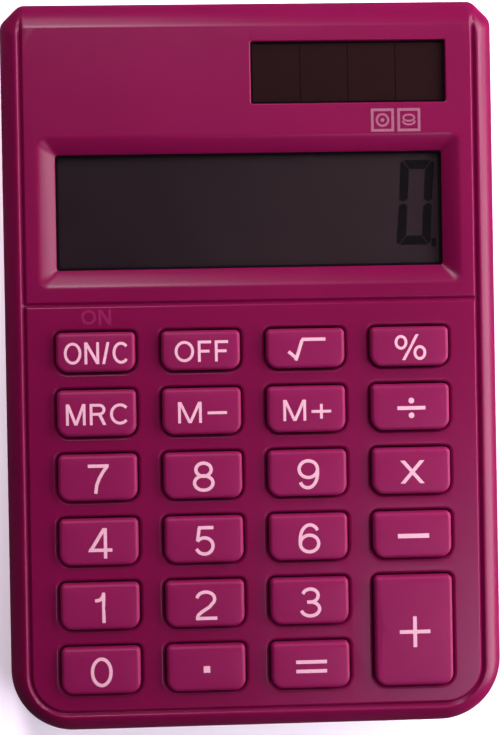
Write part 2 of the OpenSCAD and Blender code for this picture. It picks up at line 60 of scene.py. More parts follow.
def middle(node):
    """Middle of a CAD node, seen from the front."""
    low, high = box(node)
    return (low.x + high.x) / 2, (low.y + high.y) / 2


front_low, front_high = box("front_housing")
rear_low = box("rear_housing")[0]
lens_low, lens_high = box("display_window")
cell_low, cell_high = box("solar_cell")
screws_low, screws_high = box("case_screws")
feet_low, feet_high = box("rubber_feet")
KEYS = sorted(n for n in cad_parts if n.startswith("key_"))

HALF_W = front_high.x
HALF_L = front_high.y
PANEL = front_high.z        # the face
FACE_UNDER = lens_high.z    # the underside of the face's plate
PARTING = front_low.z       # where the two halves of the case meet
REAR = rear_low.z           # the back

# The case
WALL = 1.6
DRAFT = 0.25
CORNER_R = 9.8              # the lower corners
TOP_CUT = 3.1               # the upper corners are cut off slantwise, this far along both edges
CUT_ROUND = 2.0             # and rounded where the cut meets the edges
RIM_W, TOP_RIM_W, RIM_H = 2.8, 4.2, 3.0
RIM_POWER = 1.35            # 1 is a quarter ellipse, 2 a straight chamfer
REAR_EDGE = 2.6             # rounding between the sides and the back
SEAM = 0.14                 # the small chamfer on each half at the parting line
LIP_H = 1.0                 # the rear half's lip inside the front half
PLAY = 0.1                  # room round the lip, the feet and the solar cell

# The V grooves: one down both sides and along the bottom, and one across the face
GROOVE_IN = 3.45            # from the case's edge to the groove's middle
GROOVE_R = 5.8
DIVIDER_DOWN = 46.1         # from the case's top edge to the groove across
GROOVE_X = HALF_W - GROOVE_IN
GROOVE_LOW = GROOVE_IN - HALF_L
DIVIDER_Y = HALF_L - DIVIDER_DOWN
RUN_OUT_Y = GROOVE_LOW + 60     # above this the grooves cross the rim, below it they stay inside
RUN_OUT_H = 0.55            # and this far down the rim they have faded away, but for a tenth
GROOVE = [(0.0, 0.46), (0.08, 0.42), (0.34, 0.1), (0.43, 0.03), (0.53, 0.0)]    # (distance, depth)
GROOVE_LINES = sorted({s * d for d, _ in GROOVE for s in (-1, 1)}, reverse=True)

# Windows
LENS_LAP = 1.3              # how far the display's window reaches under the face
LENS_R = 0.5                # corners of the opening over it
LENS_FRAME_W = 2.9          # the sloped frame round that opening
LENS_FRAME_GROWTH = 0.35    # how fast the frame's corners get rounder outwards
LENS_FRAME_FOOT = 0.3       # height of the frame's upright foot
SHADE_BAND_IN = 0.3               # from the window's edge to the painted shade band's
SHADE_BAND_SHOWS = 0.4            # how much of the painted shade band shows inside the frame
CELL_LAP = 0.7              # how far the solar cell reaches under the face
CELL_R = 0.3                # corners of the solar window
CELL_EDGE = 0.22            # rounding of its upper edge
PLATE_R = 0.3               # corners of the thin plates

# Keys
KEY_R_TOP, KEY_R_BOTTOM = 0.8, 1.7      # upper and lower corners
LEAST_R = 0.15              # and the same further in, at least
KEY_ROUND = 0.6             # rounding of a key's upper edge, and of its opening's
KEY_GAP = 0.16
CROWN = 0.2                 # how far a key's corners lie below its middle
FLANGE, FLANGE_H = 0.6, 0.8             # the flange behind the face that holds a key in
POST_R = 1.7

# Screws and feet
SCREW_HEAD_R = 1.8
SCREW_BORE_R = 1.1
SCREW_SEAT = screws_low.z + 1.3
COUNTERBORE_R = 2.0
BOSS_R = 2.6
BOSS_TOP = 6.8              # where the front half's pillars stand on the rear half's bosses
FOOT_R = 4.0


# ---------- outlines ----------

def arc(cx, cy, rx, ry, start, end, steps):
    """Points on an ellipse's arc, angles in degrees."""
    angles = [math.radians(start + (end - start) * i / steps) for i in range(steps + 1)]
    return [(cx + rx * math.cos(a), cy + ry * math.sin(a)) for a in angles]


def circle(cx, cy, r, steps=48):
    """Points on a circle, each of them once."""
    return arc(cx, cy, r, r, 0, 360, steps)[:-1]


def quarter_round(radius, steps=4):
    """Steps round a quarter circle: a distance that falls to 0, and one that grows to the radius."""
    angles = [math.pi / 2 * i / steps for i in range(steps + 1)]
    return [(radius * (1 - math.sin(a)), radius * (1 - math.cos(a))) for a in angles]


def rounded(low, high, r_top, r_bottom, steps=6):
    """A rectangle with rounded corners, counter-clockwise."""
    (x0, y0), (x1, y1) = low, high
    return (arc(x1 - r_top, y1 - r_top, r_top, r_top, 0, 90, steps)
            + arc(x0 + r_top, y1 - r_top, r_top, r_top, 90, 180, steps)
            + arc(x0 + r_bottom, y0 + r_bottom, r_bottom, r_bottom, 180, 270, steps)
            + arc(x1 - r_bottom, y0 + r_bottom, r_bottom, r_bottom, 270, 360, steps))


def inner_box(low, high, inset):
    """Two corners of a box seen from the front, moved inwards."""
    return (low.x + inset, low.y + inset), (high.x - inset, high.y - inset)


def offset_box(corners, out, r_top, r_bottom, growth=1.0, steps=6):
    """A rounded rectangle moved outwards; its corners' radius grows by a share of that distance."""
    (x0, y0), (x1, y1) = corners
    return rounded((x0 - out, y0 - out), (x1 + out, y1 + out),
                   r_top + growth * out, r_bottom + growth * out, steps)


def four_corners(low, high, radius):
    """Centres of four equal round parts whose common box is known."""
    return [(x, y) for x in (low.x + radius, high.x - radius) for y in (low.y + radius, high.y - radius)]


SCREWS = four_corners(screws_low, screws_high, SCREW_HEAD_R)
FEET = four_corners(feet_low, feet_high, FOOT_R)


def spread(path, parts):
    """The path's points at equal steps along it."""
    lengths = [0.0]
    for a, b in zip(path, path[1:]):
        lengths.append(lengths[-1] + math.dist(a, b))
    points = []
    for i in range(parts + 1):
        at = lengths[-1] * i / parts
        k = min(max(sum(length < at for length in lengths) - 1, 0), len(path) - 2)
        run = lengths[k + 1] - lengths[k]
        t = (at - lengths[k]) / run if run else 0.0
        points.append(tuple(p + (q - p) * t for p, q in zip(path[k], path[k + 1])))
    return points


def cut_at(path, x):
    """Splits a path that runs towards smaller x, where it crosses x."""
    k = next(i for i in range(len(path) - 1) if path[i + 1][0] <= x)
    (ax, ay), (bx, by) = path[k], path[k + 1]
    cross = (x, ay + (by - ay) * (x - ax) / (bx - ax))
    return path[:k + 1] + [cross], [cross] + path[k + 1:]


def case_ring(side_in, top_in=None):
    """The case's outline moved inwards, counter-clockwise from the middle of the bottom edge.

    The top edge moves by top_in if that is given. Every ring has the same number of points, and has
    some of them where the lines of the frame groove cross it.
    """
    top_in = side_in if top_in is None else top_in
    x, top, bottom = HALF_W - side_in, HALF_L - top_in, -HALF_L + side_in
    r = max(CORNER_R - side_in, 1.0)
    cut = TOP_CUT - (1 - math.sqrt(0.5)) * (side_in + top_in)
    soft = max(CUT_ROUND - 0.35 * side_in, 0.4)
    shift = cut + soft * (math.sqrt(2) - 1)
    past_corner = x - shift - 1.5       # far enough for every groove line to cross the corner's path
    corner = (arc(x - soft, top - shift, soft, soft, 0, 45, 12)
              + arc(x - shift, top - soft, soft, soft, 45, 90, 12) + [(past_corner, top)])

    right = [((x - r) * i / 8, bottom) for i in range(8)]
    right += arc(x - r, bottom + r, r, r, -90, 0, 24)
    side_low, side_high = bottom + r, top - shift
    right += [(x, side_low + (side_high - side_low) * i / 30) for i in range(1, 30)]
    for number, line in enumerate(GROOVE_LINES):
        before, corner = cut_at(corner, GROOVE_X + line)
        right += spread(before, 6 if number == 0 else 1)[:-1]
    right += spread(corner, 8)
    right += [(past_corner * (1 - i / 10), top) for i in range(1, 11)]
    left = [(-px, py) for px, py in reversed(right[1:-1])]
    return right + left


# ---------- meshes ----------

SHARP = math.radians(42)


class Shell:
    """A mesh built from rings of points, in millimetres."""

    def __init__(self):
        self.bm = bmesh.new()

    def ring(self, points, z):
        """New vertices; z is one height, or a list of them."""
        heights = z if isinstance(z, list) else [z] * len(points)
        return [self.bm.verts.new((px, py, pz)) for (px, py), pz in zip(points, heights)]

    def bridge(self, a, b):
        """A wall between two rings with the same number of points."""
        n = len(a)
        for i in range(n):
            self.bm.faces.new((a[i], a[(i + 1) % n], b[(i + 1) % n], b[i]))
        return b

    def tower(self, first, rings):
        """Walls from one ring to the next, rings = [(points, z), ...]. Returns the last ring."""
        for points, z in rings:
            first = self.bridge(first, self.ring(points, z))
        return first

    def turned(self, x, y, profile, steps=48):
        """A turned wall round x, y: profile = [(radius, z), ...]. Returns its first and last ring."""
        rings = [(circle(x, y, r, steps), z) for r, z in profile]
        first = self.ring(*rings[0])
        return first, self.tower(first, rings[1:])

    def fill(self, outer, z, holes=(), drop=None, lines=(), dots=()):
        """Closes the ring outer, leaving the rings holes open.

        Lines and dots give the surface more points. They lie at z, or drop(x, y) below it.
        """
        known, faces, edges = [], [], []
        for ring in [outer, *holes]:
            faces.append(list(range(len(known), len(known) + len(ring))))
            known += ring
        points = [v.co.xy.copy() for v in known]
        for line in lines:
            edges += [(len(points) + i, len(points) + i + 1) for i in range(len(line) - 1)]
            points += [Vector(p) for p in line]
        points += [Vector(p) for p in dots]

        def new_point(x, y):
            return self.bm.verts.new((x, y, z - (drop(x, y) if drop else 0)))

        same_point = 1e-5
        result = geometry.delaunay_2d_cdt(points, edges, faces, 0, same_point)
        found, _, triangles, from_points, _, from_faces = result
        corners = {}
        for triangle, inside in zip(triangles, from_faces):
            if set(inside) != {0}:
                continue
            for i in triangle:
                if i not in corners:
                    old = [k for k in from_points[i] if k < len(known)]
                    corners[i] = known[old[0]] if old else new_point(*found[i])
            self.bm.faces.new([corners[i] for i in triangle])

    def piece(self, name, material, body, weighted=True):
        """The finished object, which rides on a body."""
        bm = self.bm
        bmesh.ops.recalc_face_normals(bm, faces=bm.faces)
        for face in bm.faces:
            face.smooth = True
        for edge in bm.edges:
            if len(edge.link_faces) == 2 and edge.calc_face_angle(0) > SHARP:
                edge.smooth = False
        bmesh.ops.scale(bm, vec=(MM, MM, MM), verts=bm.verts)
        mesh = bpy.data.meshes.new(name)
        bm.to_mesh(mesh)
        bm.free()
        mesh.materials.append(material)
        piece = bpy.data.objects.new(name, mesh)
        bpy.context.scene.collection.objects.link(piece)
        if weighted:
            shade = piece.modifiers.new("shading", "WEIGHTED_NORMAL")
            shade.keep_sharp = True
            shade.weight = 80
        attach(piece, body)
        return piece


def plate(name, corners, low_z, high_z, chamfer, material, hole=None):
    """A flat plate in the case with a small chamfer round its upper edges, and a hole if one is given."""
    shell = Shell()

    def wall(edge, inwards):
        upright = offset_box(edge, 0, PLATE_R, PLATE_R)
        slanted = offset_box(edge, -inwards, PLATE_R, PLATE_R)
        low_ring = shell.ring(upright, low_z)
        return low_ring, shell.tower(low_ring, [(upright, high_z - chamfer), (slanted, high_z)])

    outer_low, outer_high = wall(corners, chamfer)
    holes = [wall(hole, -chamfer)] if hole else []
    shell.fill(outer_low, low_z, [low for low, _ in holes])
    shell.fill(outer_high, high_z, [high for _, high in holes])
    return shell.piece(name, material, "case")


def print_piece(name, polygons, surface, thickness, material, body):
    """Overlapping polygons made into one thin shape whose middle lies on a surface.

    surface(x, y) is its height. A grid of extra points lets the shape follow a curved one.
    """
    points, faces = [], []
    for polygon in polygons:
        faces.append(list(range(len(points), len(points) + len(polygon))))
        points += [Vector(p) for p in polygon]
    (x0, x1), (y0, y1) = [(min(values), max(values)) for values in zip(*points)]
    step, same_point = 0.6, 1e-4
    points += [Vector((x0 + step * (i + 0.5), y0 + step * (j + 0.5)))
               for i in range(int((x1 - x0) / step)) for j in range(int((y1 - y0) / step))]
    found, _, triangles, _, _, from_faces = geometry.delaunay_2d_cdt(points, [], faces, 0, same_point)

    shell = Shell()
    verts = {}
    for triangle, inside in zip(triangles, from_faces):
        if inside:
            for i in triangle:
                if i not in verts:
                    x, y = found[i]
                    verts[i] = shell.bm.verts.new((x, y, surface(x, y) + thickness / 2))
            shell.bm.faces.new([verts[i] for i in triangle])
    lowered = bmesh.ops.extrude_face_region(shell.bm, geom=list(shell.bm.faces))["geom"]
    for vert in (g for g in lowered if isinstance(g, bmesh.types.BMVert)):
        vert.co.z -= thickness
    return shell.piece(name, material, body, weighted=False)


def level(z):
    """A flat surface for a print."""
    return lambda x, y: z


def turn_left(polygon):
    """The polygon, counter-clockwise."""
    area = sum(a[0] * b[1] - b[0] * a[1] for a, b in zip(polygon, polygon[1:] + polygon[:1]))
    return polygon if area > 0 else polygon[::-1]


def strip(path, width, closed=False):
    """Polygons with four corners along a path, mitred where they meet."""
    n = len(path)
    sides = []
    for i, (x, y) in enumerate(path):
        before = path[(i - 1) % n] if closed or i else path[0]
        after = path[(i + 1) % n] if closed or i < n - 1 else path[-1]
        into = Vector((x - before[0], y - before[1])).normalized() if before != (x, y) else None
        out = Vector((after[0] - x, after[1] - y)).normalized() if after != (x, y) else None
        along = ((into or out) + (out or into)).normalized()
        reach = width / 2 / max(along.dot(into or out), 0.5)
        dx, dy = -along.y * reach, along.x * reach
        sides.append(((x + dx, y + dy), (x - dx, y - dy)))
    pairs = zip(sides, sides[1:] + sides[:1]) if closed else zip(sides, sides[1:])
    return [[b0, b1, a1, a0][::-1] for (a0, a1), (b0, b1) in pairs]


# ---------- materials ----------

class Material:
    """A node material around one Principled shader."""

    def __init__(self, name, **settings):
        self.material = bpy.data.materials.new(name)
        self.material.use_nodes = True
        self.nodes = self.material.node_tree.nodes
        self.links = self.material.node_tree.links
        self.shader = self.nodes["Principled BSDF"]
        for socket, value in settings.items():
            self.shader.inputs[socket.replace("_", " ")].default_value = value
        self.place = self.nodes.new("ShaderNodeTexCoord").outputs["Object"]

    def noise(self, scale, detail=2.0, stretch=None):
        """A noise, finer along each axis by the numbers in stretch."""
        node = self.nodes.new("ShaderNodeTexNoise")
        node.inputs["Scale"].default_value = scale
        node.inputs["Detail"].default_value = detail
        source = self.place
        if stretch:
            mapping = self.nodes.new("ShaderNodeMapping")
            mapping.inputs["Scale"].default_value = stretch
            self.links.new(self.place, mapping.inputs["Vector"])
            source = mapping.outputs["Vector"]
        self.links.new(source, node.inputs["Vector"])
        return node.outputs["Fac"]

    def along(self, axis):
        """The place along one axis, in metres."""
        node = self.nodes.new("ShaderNodeSeparateXYZ")
        self.links.new(self.place, node.inputs["Vector"])
        return node.outputs[axis]

    def bands(self, scale):
        """Waves that follow one another along X."""
        node = self.nodes.new("ShaderNodeTexWave")
        node.bands_direction = "X"
        node.inputs["Scale"].default_value = scale
        self.links.new(self.place, node.inputs["Vector"])
        return node.outputs["Fac"]

    def cells(self, scale):
        """Distances from scattered points."""
        node = self.nodes.new("ShaderNodeTexVoronoi")
        node.inputs["Scale"].default_value = scale
        self.links.new(self.place, node.inputs["Vector"])
        return node.outputs["Distance"]

    def bricks(self, scale, first, second, mortar):
        """Bricks in two tones with thin lines between them."""
        node = self.nodes.new("ShaderNodeTexBrick")
        for socket, tone in zip(("Color1", "Color2", "Mortar"), (first, second, mortar)):
            node.inputs[socket].default_value = (*srgb(tone), 1.0)
        node.inputs["Scale"].default_value = scale
        node.inputs["Mortar Size"].default_value = 0.05
        self.links.new(self.place, node.inputs["Vector"])
        return node.outputs["Color"]

    def mix(self, a, b, share):
        """a and b blended; share is how much of it is b."""
        node = self.nodes.new("ShaderNodeMix")
        node.inputs["Factor"].default_value = share
        self.links.new(a, node.inputs["A"])
        self.links.new(b, node.inputs["B"])
        return node.outputs["Result"]

    def ramp(self, value, stops):
        """Colours between stops = [(value, hex colour), ...]."""
        node = self.nodes.new("ShaderNodeValToRGB")
        for _ in stops[2:]:
            node.color_ramp.elements.new(0.5)
        for element, (at, tone) in zip(node.color_ramp.elements, stops):
            element.position = at
            element.color = (*srgb(tone), 1.0)
        self.links.new(value, node.inputs["Fac"])
        return node.outputs["Color"]

    def remap(self, value, low, high, to_low, to_high):
        """A value stretched from one range to another, and held inside it."""
        node = self.nodes.new("ShaderNodeMapRange")
        ends = {"From Min": low, "From Max": high, "To Min": to_low, "To Max": to_high}
        for socket, number in ends.items():
            node.inputs[socket].default_value = number
        self.links.new(value, node.inputs["Value"])
        return node.outputs["Result"]

    def colour(self, output):
        self.links.new(output, self.shader.inputs["Base Color"])

    def rough(self, value, centre, reach, low=0.3, high=0.7):
        """Roughness that drifts by reach to both sides of centre, as the value goes from low to high."""
        drift = self.remap(value, low, high, centre - reach, centre + reach)
        self.links.new(drift, self.shader.inputs["Roughness"])

    def bump(self, height, strength, distance):
        """A surface texture up to a distance in metres."""
        node = self.nodes.new("ShaderNodeBump")
        node.inputs["Strength"].default_value = strength
        node.inputs["Distance"].default_value = distance
        self.links.new(height, node.inputs["Height"])
        self.links.new(node.outputs["Normal"], self.shader.inputs["Normal"])


def srgb(text):
    """Linear colour of a hex colour."""
    values = [int(text[i:i + 2], 16) / 255 for i in (0, 2, 4)]
    return tuple(v / 12.92 if v <= 0.04045 else ((v + 0.055) / 1.055) ** 2.4 for v in values)


def moulded(name, dark, mid, light, rough, specular):
    """Moulded plastic: drifting tone, a fine spark-eroded grain and slightly uneven gloss.

    The gloss varies only a little. A roughness that passes 0.27 now and then comes out blotchy,
    because denoising treats surfaces above and below that as different.
    """
    m = Material(name, Specular_IOR_Level=specular, Subsurface_Weight=0.5,
                 Subsurface_Radius=(0.0018, 0.0004, 0.0009), Subsurface_Scale=1.0)
    m.colour(m.ramp(m.noise(28, 3), [(0.3, dark), (0.5, mid), (0.72, light)]))
    m.rough(m.noise(40), rough, 0.02, 0.0, 1.0)
    m.bump(m.noise(3000), 0.35, 0.000006)
    return m.material


def plain(name, low, high, rough, scale=900, depth=0.00002, **settings):
    """Two close tones mixed by a noise, with a slight texture."""
    m = Material(name, **settings)
    m.colour(m.ramp(m.noise(scale, 3), [(0.35, low), (0.65, high)]))
    m.rough(m.noise(scale * 1.7), rough, 0.06)
    m.bump(m.noise(scale * 4), 0.3, depth)
    return m.material


def sloping(name, low, high, start, end, rough, **settings):
    """A tone that drifts from low to high along X, from start to end in millimetres."""
    m = Material(name, **settings)
    drift = m.mix(m.remap(m.along("X"), start * MM, end * MM, 0, 1), m.noise(90), 0.35)
    m.colour(m.ramp(drift, [(0.1, low), (0.9, high)]))
    m.rough(m.noise(700), rough, 0.04)
    m.bump(m.noise(1800), 0.2, 0.000004)
    return m.material


def brushed(name, low, high, rough):
    """Metal with fine lines from rolling."""
    m = Material(name, Metallic=1.0)
    lines = m.noise(1, 4, stretch=(9000, 500, 500))
    m.colour(m.ramp(lines, [(0.3, low), (0.7, high)]))
    m.rough(lines, rough, 0.08)
    m.bump(lines, 0.25, 0.000003)
    return m.material


def banded(name, low, high, scale, rough):
    """Thin layers, side by side along X."""
    m = Material(name)
    m.colour(m.ramp(m.bands(scale), [(0.4, low), (0.6, high)]))
    m.rough(m.noise(900), rough, 0.05)
    return m.material


def foamed(name, low, high):
    """Open foam with small cells."""
    m = Material(name, Specular_IOR_Level=0.2)
    holes = m.cells(2400)
    m.colour(m.ramp(holes, [(0.1, low), (0.6, high)]))
    m.rough(m.noise(800), 0.9, 0.05)
    m.bump(holes, 0.8, 0.0002)
    return m.material


def laminate(name):
    """Circuit board: green lacquer over copper tracks."""
    m = Material(name, Specular_IOR_Level=0.45)
    m.colour(m.bricks(160, "1D4B2B", "22552F", "3E7A3C"))
    m.rough(m.noise(600), 0.36, 0.06)
    m.bump(m.noise(2200), 0.3, 0.00001)
    return m.material


case_plastic = moulded("case_plastic", "54042A", "58052D", "5C0630", 0.295, 0.13)
key_plastic = moulded("key_plastic", "5F0B34", "630D38", "67103B", 0.42, 0.1)
ink = plain("legend_ink", "A57E89", "AD858F", 0.5, 2600)
sign_ink = plain("sign_ink", "642F44", "6C3448", 0.5, 2600)
faint_ink = plain("faint_ink", "5D0933", "610B36", 0.5, 2600, Specular_IOR_Level=0.1)
lens_plastic = plain("lens_plastic", "0A0608", "0C080A", 0.12, 60, 0.000001, Alpha=0.25,
                     Specular_IOR_Level=0.25)
# Painted shade: a black band under the display window's edge stands in for the shadow that the frame's lip
# casts round the display.
painted_shade_ink = plain("painted_shade_ink", "040102", "060203", 0.6, Specular_IOR_Level=0.1)
segment_black = plain("segment_black", "020102", "040304", 0.5, Specular_IOR_Level=0.1)
solar_back = plain("solar_back", "080304", "0A0405", 0.3, 300, Specular_IOR_Level=0.03)
solar_strip = sloping("solar_strip", "140808", "170A0A", 0, 30, 0.34, Specular_IOR_Level=0.03)
rubber = plain("foot_rubber", "26242A", "302E34", 0.8, 1500)

# The pieces behind the face keep their solids' shapes and get a material each
glass = plain("display_glass", "6C7A74", "78867E", 0.06, 200, 0.000001)
screw_steel = brushed("screw_steel", "8A8C92", "A6A8AC", 0.34)
spring_steel = brushed("spring_steel", "B4B0A6", "CCC8BE", 0.28)
INNER = {
    # Painted light and reflection: the front film is darker and redder on the left and lighter and greyer on
    # the right, towards the lamps.
    "display_front_polariser": sloping("front_film", "21161A", "35292B", -20, 32, 0.5,
                                       Specular_IOR_Level=0.1),
    "display_front_glass": glass,
    "display_rear_glass": glass,
    "display_rear_polariser": sloping("rear_film", "8C8E86", "A0A298", -30, 30, 0.4),
    "display_foam_pad": foamed("foam", "1A1A1C", "38383A"),
    "elastomer_connector": banded("elastomer", "D8A8A4", "2A2426", 1100, 0.6),
    "solar_wire_positive": plain("wire_red", "A01818", "B02020", 0.4, 700),
    "solar_wire_negative": plain("wire_black", "141416", "1C1C1E", 0.4, 700),
    "circuit_board": laminate("board"),
    "chip_potting": plain("potting", "0C0C0E", "141416", 0.2, 260, 0.0001),
    "storage_capacitor": banded("capacitor_sleeve", "16203C", "1C2848", 120, 0.35),
    "chip_resistors": plain("resistor_body", "1C1C20", "2C2A2C", 0.5, 1200),
    "button_cell": spring_steel,
    "cell_strap": spring_steel,
    "cell_pad": brushed("tinned_pad", "B8B8B4", "D0D0CC", 0.35),
    "keypad_membrane": plain("membrane_rubber", "A8A49C", "B4B0A8", 0.6, 400, 0.00004),
    "contact_pills": plain("carbon", "121214", "1E1E20", 0.7, 1500),
    "board_screws": screw_steel,
    "case_screws": screw_steel,
}
for inner_node, inner_material in INNER.items():
    for material_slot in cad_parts[inner_node].material_slots:
        material_slot.material = inner_material


# ---------- case ----------

def groove_depth(distance):
    """Depth of a groove at a distance from its middle."""
    for (d0, z0), (d1, z1) in zip(GROOVE, GROOVE[1:]):
        if distance <= d1:
            return z0 + (z1 - z0) * (distance - d0) / (d1 - d0)
    return 0.0


def groove_at(x, y):
    """Depth of the grooves below the panel."""
    bend_y = GROOVE_LOW + GROOVE_R
    bend_x = GROOVE_X - GROOVE_R
    if y > bend_y:
        frame_d = abs(abs(x) - GROOVE_X)
    elif abs(x) < bend_x:
        frame_d = abs(y - GROOVE_LOW)
    else:
        frame_d = abs(math.hypot(abs(x) - bend_x, y - bend_y) - GROOVE_R)
    divider_d = math.hypot(max(abs(x) - GROOVE_X, 0.0), y - DIVIDER_Y)
    return max(groove_depth(frame_d), groove_depth(divider_d))


def groove_line(offset, ring):
    """The frame groove's line at an offset, between its two ends on the ring."""
    x, r = GROOVE_X + offset, GROOVE_R + offset
    low = GROOVE_LOW - offset
    end = max(v.co.y for v in ring if abs(v.co.x - x) < 1e-4)
    side = [(x, low + r + (end - low - r) * i / 30) for i in range(31)]
    bottom = [((x - r) * i / 8, low) for i in range(8)]
    half = bottom + arc(x - r, low + r, r, r, -90, 0, 14)[:-1] + side
    return [(-px, py) for px, py in reversed(half[1:])] + half


def divider_line(offset):
    """The line of the groove across the face at an offset."""
    return [(-GROOVE_X + 2 * GROOVE_X * i / 40, DIVIDER_Y + offset) for i in range(41)]


def rim_profile():
    """(share of the rim's width, drop from the panel), from the side wall up to the panel."""
    steps = 14
    angles = [math.pi / 2 * i / steps for i in range(1, steps + 1)]
    return [(1 - math.cos(a) ** RIM_POWER, RIM_H * (1 - math.sin(a) ** RIM_POWER)) for a in angles]


def rim_ring(shell, share, drop):
    """A ring of the rim. The grooves run out over it and fade downwards."""
    points = case_ring(DRAFT + (RIM_W - DRAFT) * share, DRAFT + (TOP_RIM_W - DRAFT) * share)
    fade = max(0.1, 1 - drop / RUN_OUT_H)
    heights = [PANEL - drop - (groove_at(x, y) * fade if y > RUN_OUT_Y else 0.0) for x, y in points]
    return shell.ring(points, heights)


def frame_drop(run):
    """Depth of the display's sloped frame, at a distance inwards from its outer edge."""
    crest_end, crest_angle, end_angle, width = 0.6, 23, 37, 2.5
    if run < crest_end:
        return math.tan(math.radians(crest_angle)) * run * run / (2 * crest_end)
    drop = math.tan(math.radians(crest_angle)) * crest_end / 2
    steps = 12
    for i in range(steps):
        share = (i + 0.5) / steps * (run - crest_end) / (width - crest_end)
        angle = crest_angle + (end_angle - crest_angle) * share
        drop += math.tan(math.radians(angle)) * (run - crest_end) / steps
    return drop


def frame_profile(through):
    """The display's frame: a rounded crest, a slope that steepens inwards and an upright foot."""
    runs = (0, 0.2, 0.4, 0.6, 0.8, 1.0, 1.2, 1.5, 1.8, 2.1, 2.4)
    slope_end = through - LENS_FRAME_FOOT
    return [(LENS_FRAME_W - run, frame_drop(run)) for run in runs] + [
        (0.12, slope_end - 0.06), (0.03, slope_end + 0.02), (0.0, slope_end + 0.12), (0.0, through)]


def front_case():
    """The front half: side walls, rim, the face with its grooves and openings, and the inside."""
    shell = Shell()
    lower_edge = shell.ring(case_ring(SEAM), PARTING)
    ring = shell.tower(lower_edge, [(case_ring(0.0), PARTING + SEAM), (case_ring(DRAFT), PANEL - RIM_H)])
    for share, drop in rim_profile():
        ring = shell.bridge(ring, rim_ring(shell, share, drop))
    panel_edge = ring
    upper, lower = [], []

    def opening(corners, profile, r_top, r_bottom, growth=1.0, steps=6):
        """A hole through the face: profile = [(distance outwards, depth), ...]."""
        rings = [(offset_box(corners, out, r_top, r_bottom, growth, steps), PANEL - depth)
                 for out, depth in profile]
        first = shell.ring(*rings[0])
        upper.append(first)
        lower.append(shell.tower(first, rings[1:]))

    through = PANEL - FACE_UNDER
    for node in KEYS:
        opening(inner_box(*box(node), FLANGE - KEY_GAP), quarter_round(KEY_ROUND) + [(0.0, through)],
                KEY_R_TOP + KEY_GAP, KEY_R_BOTTOM + KEY_GAP)
    opening(inner_box(lens_low, lens_high, LENS_LAP), frame_profile(through), LENS_R, LENS_R,
            LENS_FRAME_GROWTH, steps=8)

    # the solar window, with the cell's pocket under it
    pocket, sink = CELL_LAP + PLAY, PANEL - cell_high.z
    opening(inner_box(cell_low, cell_high, CELL_LAP),
            quarter_round(CELL_EDGE) + [(0.0, sink), (pocket, sink), (pocket, through)], CELL_R, CELL_R)

    lines = [groove_line(o, panel_edge) for o in GROOVE_LINES]
    lines += [divider_line(o) for o in GROOVE_LINES]
    shell.fill(panel_edge, PANEL, upper, groove_at, lines)

    # inside: the recess for the lip, the wall and the underside of the face
    recess, recess_end = WALL / 2, PARTING + LIP_H + PLAY
    inner = shell.tower(lower_edge, [(case_ring(recess), PARTING), (case_ring(recess), recess_end),
                                     (case_ring(WALL), recess_end),
                                     (case_ring(WALL + DRAFT), PANEL - RIM_H),
                                     (case_ring(WALL + 3 * DRAFT), FACE_UNDER)])
    shell.fill(inner, FACE_UNDER, lower)
    piece = shell.piece("front_case", case_plastic, "case")
    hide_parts("front_housing")


def rear_case():
    """The rear half: its rounded tray with a lip, the screws' counterbores and bosses, and foot pockets."""
    shell = Shell()
    lip = WALL / 2 + PLAY
    floor = REAR + WALL
    upper_edge = shell.ring(case_ring(SEAM), PARTING)
    back_edge = shell.tower(upper_edge, [(case_ring(0.0), PARTING - SEAM)] + [
        (case_ring(inset), REAR + rise) for rise, inset in quarter_round(REAR_EDGE, 8)])
    inside = shell.tower(upper_edge, [(case_ring(lip), PARTING), (case_ring(lip), PARTING + LIP_H),
                                      (case_ring(WALL), PARTING + LIP_H),
                                      (case_ring(WALL + 0.1), REAR + REAR_EDGE + 0.5),
                                      (case_ring(REAR_EDGE + 0.6), floor)])
    back_holes, floor_holes = [], []
    for x, y in SCREWS:
        hole, boss = shell.turned(x, y, [
            (COUNTERBORE_R + 0.2, REAR), (COUNTERBORE_R + 0.06, REAR + 0.06), (COUNTERBORE_R, REAR + 0.2),
            (COUNTERBORE_R, SCREW_SEAT), (SCREW_BORE_R, SCREW_SEAT), (SCREW_BORE_R, BOSS_TOP),
            (BOSS_R, BOSS_TOP), (BOSS_R, floor)])
        back_holes.append(hole)
        floor_holes.append(boss)
    for x, y in FEET:
        pocket_r = FOOT_R + PLAY
        hole, end = shell.turned(x, y, [(pocket_r + 0.15, REAR), (pocket_r, REAR + 0.15),
                                        (pocket_r, feet_high.z)])
        back_holes.append(hole)
        shell.fill(end, feet_high.z)
    shell.fill(back_edge, REAR, back_holes)
    shell.fill(inside, floor, floor_holes)
    piece = shell.piece("rear_case", case_plastic, "case")
    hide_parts("rear_housing")


def rubber_feet():
    """Four turned feet, each slightly hollow underneath."""
    shell = Shell()
    profile = [(0.9, 0.25), (1.5, 0.16), (2.3, 0.05), (2.9, 0.0), (3.6, 0.0), (3.84, 0.05), (3.96, 0.16),
               (FOOT_R, 0.32), (FOOT_R, feet_high.z)]
    for x, y in FEET:
        hollow, top = shell.turned(x, y, profile, 40)
        shell.fill(hollow, profile[0][1])
        shell.fill(top, feet_high.z)
    piece = shell.piece("feet", rubber, "case")
    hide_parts("rubber_feet")


front_case()
rear_case()
rubber_feet()


# ---------- display and solar cell ----------

# The lit digit and its point: their lower left corners from the opening's lower right corner
DIGIT_AT, POINT_AT = (-6.95, 3.15), (-1.55, 2.85)
DIGIT_H, DIGIT_W, DIGIT_LEAN = 13.1, 5.3, 0.062
BAR_W, BAR_GAP = 1.42, 0.1

# Layers, from the underside of the window's solid: the painted shade band's two sides, the digit, the clear
# plate
SHADE_BAND_LOW, SHADE_BAND_HIGH, LIT_LAYER, CLEAR_LOW = 0.005, 0.045, 0.02, 0.06


